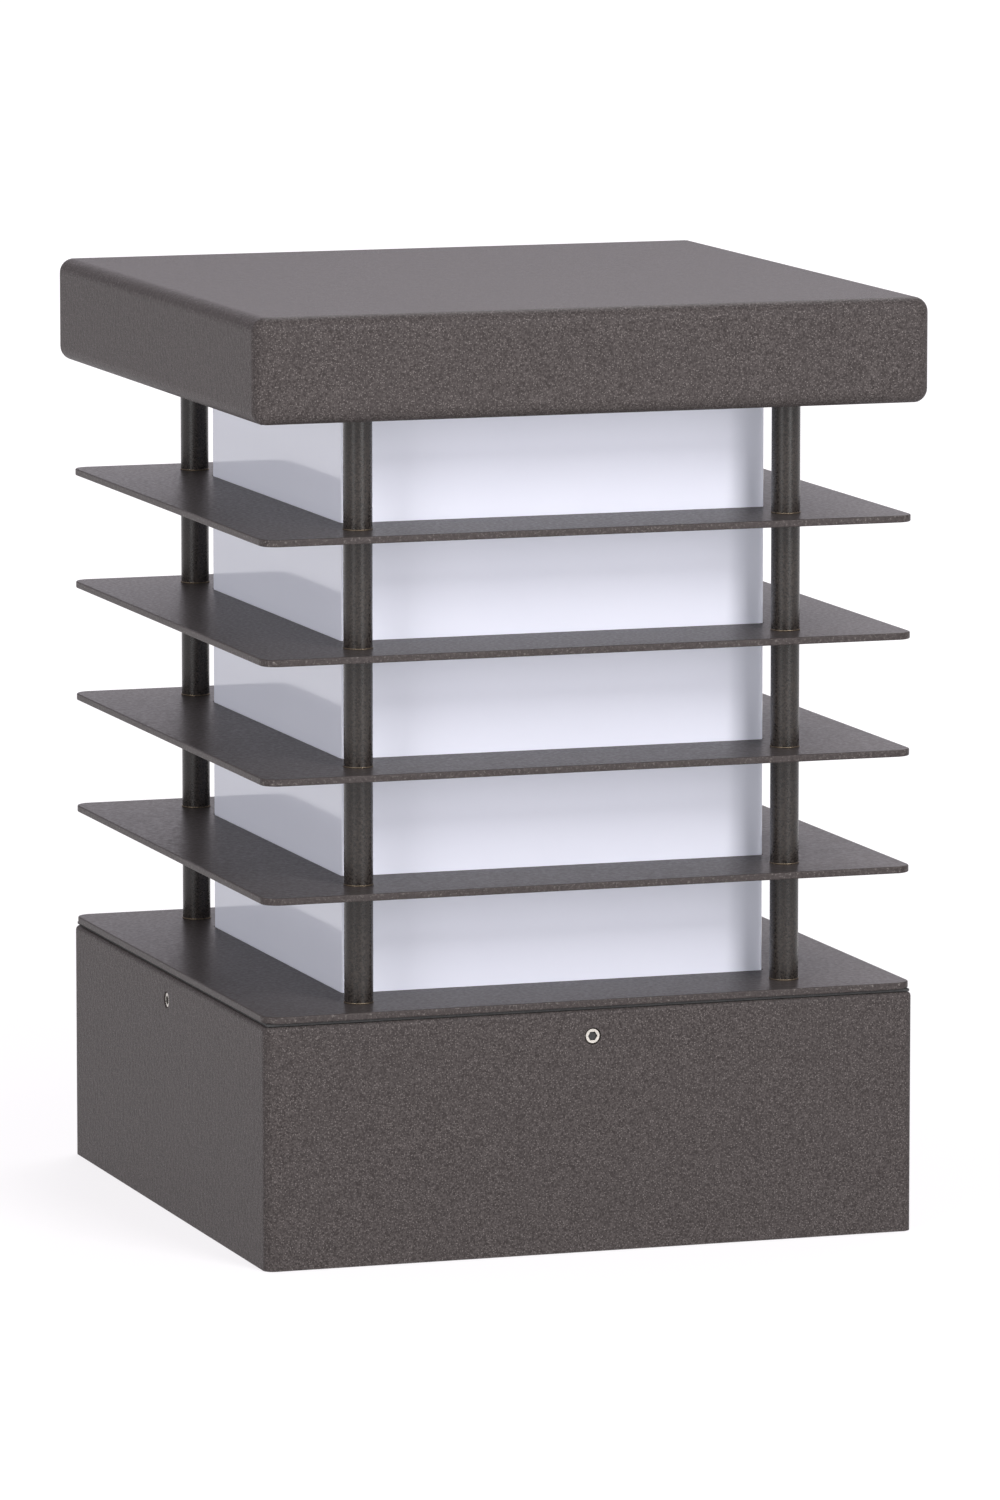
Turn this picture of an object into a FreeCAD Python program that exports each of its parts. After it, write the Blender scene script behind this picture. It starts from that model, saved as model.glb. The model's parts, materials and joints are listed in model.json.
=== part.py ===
"""Square louvred bollard light.

A cast base box is bolted to the ground and carries the lampholder, the lamp and the wiring.
The head lifts off it: a cover plate, four louvre plates and a cap, held apart by four posts of
spacer tubes on tie rods around a square opal diffuser.  Four grub screws in the base walls
clamp the head's skirt.

Millimetres, +Z up, origin at the middle of the base's underside, front face towards -Y.
"""
import FreeCAD, Part

import math
import os
import re

import Sketcher

V = FreeCAD.Vector

LOUVRES = 4  # loose plates between the cover plate and the cap
BEND_SHARE = 0.45  # of a wire's shorter run, given to the bend
CORNERS = {"front_left": (-1, -1), "front_right": (1, -1), "back_left": (-1, 1), "back_right": (1, 1)}
SIDES = {"front": (0, -1), "back": (0, 1), "left": (-1, 0), "right": (1, 0)}

DIMENSIONS = {
    # plates and head
    "plate_width": 200.0,
    "plate_thickness": 2.1,
    "plate_corner": 5.0,
    "coat_edge_radius": 0.4,  # sheet edge under its coat
    "louvre_margin": 34.5,  # plate edge to diffuser face
    "spacer_length": 32.6,  # clear height between two plates
    "top_bay_height": 33.1,  # last louvre to the cap's lower edge
    # posts
    "post_inset_x": 34.0,  # plate edge to post centre, left and right
    "post_inset_y": 18.0,  # plate edge to post centre, front and back
    "post_diameter": 8.5,
    "post_chamfer": 0.35,
    "rod_diameter": 5.0,
    "rod_clearance": 0.15,
    "rod_overrun": 2.0,  # rod end past its nut
    "nut_flats": 8.0,
    "nut_height": 4.0,
    "washer_diameter": 10.0,
    "washer_thickness": 1.0,
    # diffuser
    "diffuser_wall": 3.0,
    "diffuser_corner": 1.5,
    "diffuser_clearance": 0.4,
    "seal_thickness": 1.0,
    "seal_inset": 0.6,
    "reflector_thickness": 3.0,
    "reflector_clearance": 0.5,
    # cap
    "cap_overhang": 3.4,
    "cap_height": 31.1,
    "cap_edge_radius": 4.3,
    "cap_wall": 3.0,
    "cap_top_thickness": 3.0,
    "cap_recess": 3.0,  # closing plate above the cap's lower edge
    "cap_fit_clearance": 0.5,
    "boss_diameter": 10.0,
    "boss_inset": 11.0,  # cap's inner wall to boss centre
    "boss_from_post": 30.0,
    "boss_hole_depth": 14.0,
    "cap_screw_diameter": 4.0,
    "cap_screw_length": 13.0,
    "cap_screw_head": 8.0,
    "cap_screw_head_height": 2.4,
    # base box
    "base_overhang": 0.2,  # base wall beyond the plate edge
    "base_height": 71.7,
    "base_wall": 3.0,
    "base_corner": 3.0,
    "base_inner_corner": 2.0,
    "base_rim_radius": 1.4,
    "floor_thickness": 4.0,
    "fixing_inset": 25.2,  # base wall to ground fixing centre
    "fixing_diameter": 9.0,
    # joint between base and head
    "cover_gap": 0.9,
    "gasket_inset": 1.0,
    "gasket_width": 1.6,
    "seat_clearance": 0.2,
    "skirt_height": 18.0,
    "skirt_wall": 2.5,
    "skirt_corner": 2.0,
    "flange_thickness": 4.0,
    "rebate_depth": 2.5,
    "ledge_width": 5.4,  # rebate's edge to the lamp window
    "grub_diameter": 5.0,
    "grub_length": 6.0,
    "grub_drop": 7.7,  # below the base's rim
    "grub_recess": 0.3,
    "grub_chamfer": 0.4,
    "grub_socket": 2.5,
    "grub_socket_depth": 2.6,
    "grub_tip_clearance": 0.2,
    "thread_clearance": 0.05,
    # lampholder and its bracket
    "bracket_height": 24.0,
    "bracket_span": 60.0,
    "bracket_width": 30.0,
    "bracket_sheet": 2.0,
    "bracket_foot": 16.0,
    "bracket_screw_diameter": 4.0,
    "bracket_screw_head": 7.5,
    "bracket_screw_head_height": 2.4,
    "screw_end_cover": 0.8,  # floor screws stop this far above the underside
    "nipple_diameter": 10.0,
    "nipple_wall": 1.0,
    "nipple_below": 6.0,
    "nipple_above": 8.0,
    "nipple_nut_flats": 14.0,
    "holder_diameter": 42.0,
    "holder_foot_diameter": 36.0,
    "holder_foot_height": 18.0,
    "holder_floor": 16.0,
    "shell_inner_diameter": 27.0,
    "shell_wall": 0.5,
    "shell_height": 24.0,
    "contact_diameter": 10.0,
    "contact_thickness": 1.8,
    "lamp_clearance": 0.5,  # lamp's tip above the contact
    "neck_gap": 1.0,  # holder's rim below the lamp's neck
    # lamp
    "lamp_diameter": 60.0,
    "lamp_tip_diameter": 9.0,
    "lamp_tip_height": 1.7,
    "lamp_insulator_height": 3.0,
    "lamp_cap_diameter": 26.4,
    "lamp_cap_height": 22.0,
    "lamp_cap_wall": 0.6,
    "lamp_neck_diameter": 28.0,
    "lamp_body_height": 38.0,
    "lamp_body_wall": 1.6,
    "dome_cut": 15.0,  # dome's centre above its open edge
    "dome_wall": 1.4,
    "led_board_diameter": 46.0,
    "led_board_thickness": 1.6,
    "driver_width": 16.0,
    "driver_depth": 11.0,
    "driver_height": 24.0,
    # terminal block
    "terminal_y": 55.0,
    "terminal_length": 34.0,
    "terminal_depth": 18.0,
    "terminal_height": 14.0,
    "terminal_pitch": 10.0,
    "sleeve_diameter": 4.4,
    "sleeve_bore": 3.0,
    "sleeve_height": 6.0,  # sleeve axis above the floor
    "sleeve_inset": 1.0,
    "clamp_screw_diameter": 3.2,
    "clamp_screw_offset": 4.5,
    "clamp_screw_recess": 1.0,
    "terminal_fixing_diameter": 3.0,
    "terminal_fixing_head": 5.4,
    "terminal_fixing_head_height": 2.0,
    # earth stud
    "stud_x": -60.0,
    "stud_y": 28.0,
    "stud_diameter": 5.0,
    "stud_height": 14.0,
    "lug_diameter": 10.0,
    "lug_thickness": 0.8,
    "lug_barrel_length": 7.0,
    "lug_barrel_width": 4.4,
    "lug_barrel_height": 3.6,
    # wires
    "wire_diameter": 2.2,
    "wire_offset": 2.0,  # line and neutral, each side of the nipple's axis
    "wire_inserted": 5.0,  # wire end inside its terminal sleeve
    "wire_sag": 7.0,  # bend below the nipple
    "lead_length": 19.0,  # terminal block to the first bend
    "earth_lead_length": 14.0,
    "earth_approach": 20.0,  # last bend to the lug
    "lead_spread": 1.0,  # how far the leads fan out
    # cable gland
    "gland_y": -58.0,
    "gland_thread": 20.0,
    "gland_flats": 24.0,
    "gland_hex_height": 7.0,
    "gland_neck_diameter": 18.0,
    "gland_neck_height": 10.0,
    "gland_bore": 12.0,
    "gland_washer_diameter": 26.0,
    "gland_washer_thickness": 1.2,
    "gland_seal_height": 8.0,
    "cable_diameter": 9.0,
    "gland_nut_height": 14.0,
    "gland_nut_gap": 1.0,
    "gland_nut_lip": 4.0,
}

# Places worked out from the driving dimensions, lowest first.
BASE_WIDTH = "(plate_width + 2 * base_overhang)"
BASE_INSIDE = f"({BASE_WIDTH} - 2 * base_wall)"
FIXING_HALF = f"({BASE_WIDTH} / 2 - fixing_inset)"
GRUB_FACE = f"({BASE_WIDTH} / 2 - grub_recess)"
GRUB_Z = "(base_height - grub_drop)"
SKIRT_WIDTH = f"(2 * ({GRUB_FACE} - grub_length - grub_tip_clearance))"
COVER_BOTTOM = "(base_height + cover_gap)"
COVER_TOP = f"({COVER_BOTTOM} + plate_thickness)"
PITCH = "(spacer_length + plate_thickness)"
CAP_WIDTH = "(plate_width + 2 * cap_overhang)"
CAP_BOTTOM = f"({COVER_TOP} + {LOUVRES} * {PITCH} + top_bay_height)"
CAP_INSIDE = f"({CAP_WIDTH} - 2 * cap_wall)"
CLOSING_BOTTOM = f"({CAP_BOTTOM} + cap_recess)"
CLOSING_TOP = f"({CLOSING_BOTTOM} + plate_thickness)"
POST_X = "(plate_width / 2 - post_inset_x)"
POST_Y = "(plate_width / 2 - post_inset_y)"
ROD_HOLE = "(rod_diameter + 2 * rod_clearance)"
FLANGE_BOTTOM = f"({COVER_BOTTOM} - flange_thickness)"
DIFFUSER_WIDTH = "(plate_width - 2 * louvre_margin)"
DIFFUSER_SEAT = f"({COVER_BOTTOM} - rebate_depth)"
DIFFUSER_BOTTOM = f"({DIFFUSER_SEAT} + seal_thickness)"
DIFFUSER_TOP = f"({CLOSING_BOTTOM} - seal_thickness)"
DIFFUSER_HOLE = f"({DIFFUSER_WIDTH} + 2 * diffuser_clearance)"
LAMP_WINDOW = f"({DIFFUSER_HOLE} - 2 * ledge_width)"
BOSS_X = f"({CAP_INSIDE} / 2 - boss_inset)"
BOSS_Y = f"({POST_Y} - boss_from_post)"
BRACKET_TOP = "(floor_thickness + bracket_height)"
BRACKET_SCREW_X = "(bracket_span / 2 + bracket_foot / 2)"
HOLDER_SEAT = f"({BRACKET_TOP} + holder_floor)"
LAMP_TIP = f"({HOLDER_SEAT} + contact_thickness + lamp_clearance)"
LAMP_SHELL = f"({LAMP_TIP} + lamp_tip_height + lamp_insulator_height)"
LAMP_NECK = f"({LAMP_SHELL} + lamp_cap_height)"
LAMP_RIM = f"({LAMP_NECK} + lamp_body_height)"
HOLDER_TOP = f"({LAMP_NECK} - neck_gap)"
DOME_OPENING = "sqrt((lamp_diameter / 2)^2 - dome_cut^2)"
TERMINAL_TOP = "(floor_thickness + terminal_height)"
SLEEVE_Z = "(floor_thickness + sleeve_height)"
GLAND_SEAT = "(floor_thickness + gland_washer_thickness)"
GLAND_NECK = f"({GLAND_SEAT} + gland_hex_height)"
GLAND_TOP = f"({GLAND_NECK} + gland_neck_height)"

doc = FreeCAD.newDocument("bollard_light")
sheet = doc.addObject("Spreadsheet::Sheet", "sizes")
pieces = []


def fill_sheet():
    for row, (name, number) in enumerate(DIMENSIONS.items(), start=1):
        sheet.set(f"A{row}", name)
        sheet.set(f"B{row}", str(number))
        sheet.setAlias(f"B{row}", name)
    doc.recompute()


def size(name):
    return float(sheet.get(name))


def formula(text):
    """Point every size named in a formula at its cell."""
    return re.sub(r"[a-z][a-z0-9_]*", lambda m: f"sizes.{m[0]}" if m[0] in DIMENSIONS else m[0], text)


def bind(item, **formulas):
    for name, text in formulas.items():
        item.setExpression(name, formula(text))


def place(item, x="0", y="0", z="0"):
    for axis, text in zip("xyz", (x, y, z)):
        item.setExpression(f"Placement.Base.{axis}", formula(text))


def keep(item, label):
    """Make an object a finished piece of the light."""
    item.Label = label
    pieces.append(item)
    return item


def times(sign, text):
    return f"({sign}) * {text}"


# ---- sketches ---------------------------------------------------------------------------


def measure(sketch, text, *constraint):
    """Add a dimension whose value is a formula."""
    index = sketch.addConstraint(Sketcher.Constraint(*constraint))
    sketch.setExpression(f"Constraints[{index}]", formula(text))


def draw_square(sketch, width):
    first = sketch.GeometryCount
    corners = [V(-9, -9, 0), V(9, -9, 0), V(9, 9, 0), V(-9, 9, 0)]
    for k in range(4):
        sketch.addGeometry(Part.LineSegment(corners[k], corners[(k + 1) % 4]), False)
    for k in range(4):
        sketch.addConstraint(Sketcher.Constraint("Coincident", first + k, 2, first + (k + 1) % 4, 1))
        sketch.addConstraint(Sketcher.Constraint("Vertical" if k % 2 else "Horizontal", first + k))
    sketch.addConstraint(Sketcher.Constraint("Symmetric", first, 1, first + 2, 1, -1, 1))
    measure(sketch, width, "DistanceX", first, 1, first, 2, 18.0)
    measure(sketch, width, "DistanceY", first + 1, 1, first + 1, 2, 18.0)


def draw_circle(sketch, diameter, x="0", y="0"):
    index = sketch.addGeometry(Part.Circle(V(0, 0, 0), V(0, 0, 1), 2), False)
    measure(sketch, x, "DistanceX", -1, 1, index, 3, 1.0)
    measure(sketch, y, "DistanceY", -1, 1, index, 3, 1.0)
    measure(sketch, diameter, "Diameter", index, 4.0)


def draw_four_circles(sketch, diameter, x, y):
    for sign_x, sign_y in CORNERS.values():
        draw_circle(sketch, diameter, times(sign_x, x), times(sign_y, y))


# ---- PartDesign bodies ------------------------------------------------------------------


def vertical(edge):
    return edge.Curve.TypeId == "Part::GeomLine" and abs(edge.tangentAt(edge.FirstParameter).z) > 0.99


class Moulding:
    """One PartDesign body, built a feature at a time."""

    def __init__(self, label, lift="0"):
        self.body = keep(doc.addObject("PartDesign::Body", label), label)
        place(self.body, z=lift)

    def sketch(self, name, role="XY_Plane", height="0"):
        sketch = self.body.newObject("Sketcher::SketchObject", f"{self.body.Name}_{name}")
        plane = [item for item in self.body.Origin.OriginFeatures if item.Role == role][0]
        sketch.AttachmentSupport = [(plane, "")]
        sketch.MapMode = "FlatFace"
        sketch.setExpression("AttachmentOffset.Base.z", formula(height))
        return sketch

    def pad(self, sketch, length):
        feature = self.body.newObject("PartDesign::Pad", f"{sketch.Name}_pad")
        feature.Profile = sketch
        bind(feature, Length=length)
        doc.recompute()

    def pocket_up(self, sketch, depth):
        feature = self.body.newObject("PartDesign::Pocket", f"{sketch.Name}_pocket")
        feature.Profile = sketch
        feature.Reversed = True
        bind(feature, Length=depth)
        doc.recompute()

    def pocket_down(self, sketch, depth):
        feature = self.body.newObject("PartDesign::Pocket", f"{sketch.Name}_pocket")
        feature.Profile = sketch
        bind(feature, Length=depth)
        doc.recompute()

    def pocket_through(self, sketch):
        feature = self.body.newObject("PartDesign::Pocket", f"{sketch.Name}_pocket")
        feature.Profile = sketch
        feature.Type = "ThroughAll"
        feature.SideType = "Symmetric"
        doc.recompute()

    def round_edges(self, name, radius, wanted):
        """Fillet the edges that a test picks from the body as it stands."""
        tip = self.body.Tip
        names = [f"Edge{k}" for k, edge in enumerate(tip.Shape.Edges, start=1) if wanted(edge)]
        feature = self.body.newObject("PartDesign::Fillet", f"{self.body.Name}_{name}")
        feature.Base = (tip, names)
        bind(feature, Radius=radius)
        doc.recompute()


def reach(edge):
    """How far an edge's middle stands from the body's axis, along X or Y."""
    middle = edge.CenterOfMass
    return max(abs(middle.x), abs(middle.y))


# ---- Part primitives --------------------------------------------------------------------

TURNS = {
    "z": FreeCAD.Rotation(),
    "x": FreeCAD.Rotation(V(0, 1, 0), 90),
    "y": FreeCAD.Rotation(V(1, 0, 0), -90),
}


def cylinder(name, diameter, length, x="0", y="0", z="0", along="z"):
    item = doc.addObject("Part::Cylinder", name)
    bind(item, Radius=f"({diameter}) / 2", Height=length)
    item.Placement = FreeCAD.Placement(V(), TURNS[along])
    place(item, x, y, z)
    return item


def cone(name, lower_diameter, upper_diameter, length, x="0", y="0", z="0"):
    item = doc.addObject("Part::Cone", name)
    bind(item, Radius1=f"({lower_diameter}) / 2", Radius2=f"({upper_diameter}) / 2", Height=length)
    place(item, x, y, z)
    return item


def sphere(name, diameter, z):
    item = doc.addObject("Part::Sphere", name)
    bind(item, Radius=f"({diameter}) / 2")
    place(item, z=z)
    return item


def hexagon(name, flats, length, x="0", y="0", z="0"):
    item = doc.addObject("Part::Prism", name)
    item.Polygon = 6
    bind(item, Circumradius=f"({flats}) / 2 / cos(30 deg)", Height=length)
    place(item, x, y, z)
    return item


def block(name, length, width, height, x, y, z):
    """A box centred on x and y, standing on z."""
    item = doc.addObject("Part::Box", name)
    bind(item, Length=length, Width=width, Height=height)
    place(item, f"({x}) - ({length}) / 2", f"({y}) - ({width}) / 2", z)
    return item


def fuse(name, items):
    item = doc.addObject("Part::MultiFuse", name)
    item.Shapes = items
    return item


def cut(name, base, tools):
    item = doc.addObject("Part::Cut", name)
    item.Base = base
    item.Tool = tools[0] if len(tools) == 1 else fuse(f"{name}_tools", tools)
    return item


def group(name, items):
    """Identical separate solids that share one node."""
    item = doc.addObject("Part::Compound", name)
    item.Links = items
    return item


def ring(name, outer, inner, length, x="0", y="0", z="0", along="z"):
    solid = cylinder(f"{name}_outer", outer, length, x, y, z, along)
    bore = cylinder(f"{name}_bore", inner, length, x, y, z, along)
    return cut(name, solid, [bore])


def nut(name, flats, bore, length, x="0", y="0", z="0"):
    return cut(name, hexagon(f"{name}_hexagon", flats, length, x, y, z), [
        cylinder(f"{name}_bore", bore, length, x, y, z),
    ])


def screw_down(name, shank, head, head_height, x, y, seat):
    """A floor screw: its head on the seat, its shank down into the floor."""
    return fuse(name, [
        cylinder(f"{name}_head", head, head_height, x, y, seat),
        cylinder(f"{name}_shank", shank, f"{seat} - screw_end_cover", x, y, "screw_end_cover"),
    ])


# ---- base box ---------------------------------------------------------------------------


def make_base_box():
    box = Moulding("base_box")
    outline = box.sketch("outline")
    draw_square(outline, BASE_WIDTH)
    box.pad(outline, "base_height")
    box.round_edges("corners", "base_corner", vertical)

    inside = box.sketch("inside", height="floor_thickness")
    draw_square(inside, BASE_INSIDE)
    box.pocket_up(inside, "base_height - floor_thickness")
    inner_half = size("plate_width") / 2 + size("base_overhang") - size("base_wall")
    box.round_edges("inner_corners", "base_inner_corner", lambda edge: (
        vertical(edge) and abs(reach(edge) - inner_half) < 0.01))
    box.round_edges("rim", "base_rim_radius", lambda edge: (
        abs(edge.BoundBox.ZMin - size("base_height")) < 0.01 and reach(edge) > inner_half + 0.5))

    fixings = box.sketch("fixings", height="floor_thickness")
    draw_four_circles(fixings, "fixing_diameter", FIXING_HALF, FIXING_HALF)
    box.pocket_down(fixings, "floor_thickness")

    threads = box.sketch("floor_threads", height="floor_thickness")
    draw_circle(threads, "gland_thread + 2 * thread_clearance", "0", "gland_y")
    draw_circle(threads, "stud_diameter + 2 * thread_clearance", "stud_x", "stud_y")
    for sign in (-1, 1):
        draw_circle(threads, "bracket_screw_diameter + 2 * thread_clearance",
                    times(sign, BRACKET_SCREW_X), "0")
        draw_circle(threads, "terminal_fixing_diameter + 2 * thread_clearance",
                    times(sign, "terminal_pitch / 2"), "terminal_y")
    box.pocket_down(threads, "floor_thickness")

    for role in ("XZ_Plane", "YZ_Plane"):
        bores = box.sketch(f"grub_bores_{role[:2].lower()}", role)
        draw_circle(bores, "grub_diameter + 2 * thread_clearance", "0", GRUB_Z)
        box.pocket_through(bores)


def make_grub_screw(side, sign_x, sign_y):
    """A socket set screw, socket outwards.  It is built upright with its socket at z = 0."""
    name = f"grub_screw_{side}"
    bevel = "grub_diameter - 2 * grub_chamfer"
    blank = fuse(f"{name}_blank", [
        cone(f"{name}_point", bevel, "grub_diameter", "grub_chamfer", z="-grub_length"),
        cylinder(f"{name}_thread", "grub_diameter", "grub_length - 2 * grub_chamfer",
                 z="-grub_length + grub_chamfer"),
        cone(f"{name}_bevel", "grub_diameter", bevel, "grub_chamfer", z="-grub_chamfer"),
    ])
    socket = hexagon(f"{name}_socket", "grub_socket", "grub_socket_depth", z="-grub_socket_depth")
    screw = keep(cut(name, blank, [socket]), name)
    screw.Placement = FreeCAD.Placement(V(), FreeCAD.Rotation(V(0, 0, 1), V(sign_x, sign_y, 0)))
    place(screw, times(sign_x, GRUB_FACE), times(sign_y, GRUB_FACE), GRUB_Z)


def make_cable_gland():
    y = "gland_y"
    body = fuse("gland_blank", [
        cylinder("gland_spigot", "gland_thread", f"{GLAND_SEAT} - screw_end_cover", y=y, z="screw_end_cover"),
        hexagon("gland_hexagon", "gland_flats", "gland_hex_height", y=y, z=GLAND_SEAT),
        cylinder("gland_neck", "gland_neck_diameter", "gland_neck_height", y=y, z=GLAND_NECK),
    ])
    bore = cylinder("gland_bore_tool", "gland_bore", GLAND_TOP, y=y)
    keep(cut("gland_cut", body, [bore]), "cable_gland_body")
    keep(ring("gland_washer", "gland_washer_diameter", "gland_thread + 2 * thread_clearance",
              "gland_washer_thickness", y=y, z="floor_thickness"), "cable_gland_washer")
    keep(ring("gland_seal", "gland_bore", "cable_diameter", "gland_seal_height", y=y,
              z=f"{GLAND_TOP} - gland_seal_height"), "cable_gland_seal")
    nut_bottom = f"({GLAND_NECK} + gland_nut_gap)"
    blank = hexagon("gland_nut_blank", "gland_flats", "gland_nut_height", y=y, z=nut_bottom)
    thread = cylinder("gland_nut_thread", "gland_neck_diameter + 2 * thread_clearance",
                      "gland_nut_height - gland_nut_lip", y=y, z=nut_bottom)
    mouth = cylinder("gland_nut_mouth", "gland_bore", "gland_nut_height", y=y, z=nut_bottom)
    keep(cut("gland_nut", blank, [thread, mouth]), "cable_gland_nut")


# ---- lampholder, bracket and lamp -------------------------------------------------------


def make_bracket():
    top = block("bracket_top", "bracket_span", "bracket_width", "bracket_sheet", "0", "0",
                f"{BRACKET_TOP} - bracket_sheet")
    parts = [top]
    screw_holes = []
    for side, sign in (("left", -1), ("right", 1)):
        leg_x = times(sign, "(bracket_span / 2 - bracket_sheet / 2)")
        parts.append(block(f"bracket_leg_{side}", "bracket_sheet", "bracket_width", "bracket_height",
                           leg_x, "0", "floor_thickness"))
        parts.append(block(f"bracket_foot_{side}", "bracket_foot", "bracket_width", "bracket_sheet",
                           times(sign, BRACKET_SCREW_X), "0", "floor_thickness"))
        screw_holes.append(cylinder(f"bracket_hole_{side}", "bracket_screw_diameter + 2 * rod_clearance",
                                    "bracket_sheet", times(sign, BRACKET_SCREW_X), "0", "floor_thickness"))
    centre = cylinder("bracket_centre_hole", "nipple_diameter + 2 * thread_clearance", "bracket_sheet",
                      z=f"{BRACKET_TOP} - bracket_sheet")
    keep(cut("bracket", fuse("bracket_blank", parts), screw_holes + [centre]), "lamp_bracket")
    keep(group("bracket_screw_pair", [
        screw_down(f"bracket_screw_{side}", "bracket_screw_diameter", "bracket_screw_head",
                   "bracket_screw_head_height", times(sign, BRACKET_SCREW_X), "0",
                   "(floor_thickness + bracket_sheet)")
        for side, sign in (("left", -1), ("right", 1))
    ]), "bracket_screws")


def make_lampholder():
    nipple_bottom = f"({BRACKET_TOP} - bracket_sheet - nipple_below)"
    keep(ring("nipple", "nipple_diameter", "nipple_diameter - 2 * nipple_wall",
              "nipple_below + bracket_sheet + nipple_above", z=nipple_bottom), "holder_nipple")
    keep(nut("nipple_nut", "nipple_nut_flats", "nipple_diameter + 2 * thread_clearance", "nut_height",
             z=f"{BRACKET_TOP} - bracket_sheet - nut_height"), "holder_nipple_nut")
    blank = fuse("holder_blank", [
        cylinder("holder_foot", "holder_foot_diameter", "holder_foot_height", z=BRACKET_TOP),
        cylinder("holder_skirt", "holder_diameter", f"{HOLDER_TOP} - {BRACKET_TOP} - holder_foot_height",
                 z=f"{BRACKET_TOP} + holder_foot_height"),
    ])
    shell_outer = "shell_inner_diameter + 2 * shell_wall"
    keep(cut("holder", blank, [
        cylinder("holder_mouth", shell_outer, f"{HOLDER_TOP} - {HOLDER_SEAT}", z=HOLDER_SEAT),
        cylinder("holder_thread", "nipple_diameter + 2 * thread_clearance", "nipple_above",
                 z=BRACKET_TOP),
    ]), "lampholder")
    keep(ring("shell", shell_outer, "shell_inner_diameter", "shell_height", z=HOLDER_SEAT),
         "lampholder_shell")
    keep(cylinder("contact", "contact_diameter", "contact_thickness", z=HOLDER_SEAT),
         "lampholder_contact")


def make_lamp():
    keep(cylinder("lamp_tip", "lamp_tip_diameter", "lamp_tip_height", z=LAMP_TIP), "lamp_contact")
    insulator = cone("lamp_cap_cone", "lamp_tip_diameter", "lamp_cap_diameter", "lamp_insulator_height",
                     z=f"{LAMP_TIP} + lamp_tip_height")
    cap = cylinder("lamp_cap_shell", "lamp_cap_diameter", "lamp_cap_height", z=LAMP_SHELL)
    hollow = cylinder("lamp_cap_hollow", "lamp_cap_diameter - 2 * lamp_cap_wall",
                      "lamp_cap_height - lamp_cap_wall", z=LAMP_SHELL)
    keep(cut("lamp_cap_cut", fuse("lamp_cap_blank", [insulator, cap]), [hollow]), "lamp_cap")

    body = cone("lamp_body_outer", "lamp_neck_diameter", f"2 * {DOME_OPENING}", "lamp_body_height",
                z=LAMP_NECK)
    inner = cone("lamp_body_inner", "lamp_neck_diameter - 2 * lamp_body_wall",
                 f"2 * {DOME_OPENING} - 2 * lamp_body_wall", "lamp_body_height - 2 * lamp_body_wall",
                 z=f"{LAMP_NECK} + lamp_body_wall")
    keep(cut("lamp_body_cut", body, [inner]), "lamp_body")
    keep(block("driver", "driver_width", "driver_depth", "driver_height", "0", "0",
               f"{LAMP_NECK} + lamp_body_wall"), "lamp_driver")
    keep(cylinder("led_board", "led_board_diameter", "led_board_thickness", z=LAMP_RIM),
         "lamp_led_board")

    centre = f"({LAMP_RIM} + dome_cut)"
    keep(cut("dome_cut_open", sphere("dome_outer", "lamp_diameter", centre), [
        sphere("dome_inner", "lamp_diameter - 2 * dome_wall", centre),
        cylinder("dome_below", "lamp_diameter", "lamp_diameter", z=f"{LAMP_RIM} - lamp_diameter"),
    ]), "lamp_dome")


# ---- wiring -----------------------------------------------------------------------------


def make_terminal_block():
    y = "terminal_y"
    poles = [(pole, times(pole, "terminal_pitch")) for pole in (-1, 0, 1)]
    sleeve_length = "(terminal_depth - 2 * sleeve_inset)"
    sleeve_y = f"({y} - {sleeve_length} / 2)"
    clamp_bottom = f"({SLEEVE_Z} + sleeve_diameter / 2)"
    clamp_top = f"({TERMINAL_TOP} - clamp_screw_recess)"
    tools = []
    sleeves = []
    clamps = []
    for pole, x in poles:
        tools.append(cylinder(f"terminal_way_{pole + 2}", "sleeve_diameter", "terminal_depth", x,
                              f"({y} - terminal_depth / 2)", SLEEVE_Z, "y"))
        sleeves.append(ring(f"sleeve_{pole + 2}", "sleeve_diameter", "sleeve_bore", sleeve_length, x,
                            sleeve_y, SLEEVE_Z, "y"))
        for end, sign in (("front", -1), ("back", 1)):
            screw_y = f"({y} + {times(sign, 'clamp_screw_offset')})"
            tools.append(cylinder(f"clamp_hole_{pole + 2}_{end}", "clamp_screw_diameter",
                                  f"{TERMINAL_TOP} - {SLEEVE_Z}", x, screw_y, SLEEVE_Z))
            clamps.append(cylinder(f"clamp_screw_{pole + 2}_{end}", "clamp_screw_diameter",
                                   f"{clamp_top} - {clamp_bottom}", x, screw_y, clamp_bottom))
    fixings = []
    for side, sign in (("left", -1), ("right", 1)):
        x = times(sign, "terminal_pitch / 2")
        tools.append(cylinder(f"terminal_fixing_hole_{side}", "terminal_fixing_diameter + 2 * rod_clearance",
                              "terminal_height", x, y, "floor_thickness"))
        fixings.append(screw_down(f"terminal_fixing_{side}", "terminal_fixing_diameter",
                                  "terminal_fixing_head", "terminal_fixing_head_height", x, y,
                                  TERMINAL_TOP))
    blank = block("terminal_blank", "terminal_length", "terminal_depth", "terminal_height", "0", y,
                  "floor_thickness")
    keep(cut("terminal_cut", blank, tools), "terminal_block")
    keep(group("sleeve_group", sleeves), "terminal_sleeves")
    keep(group("clamp_group", clamps), "terminal_screws")
    keep(group("fixing_group", fixings), "terminal_fixings")


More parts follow.
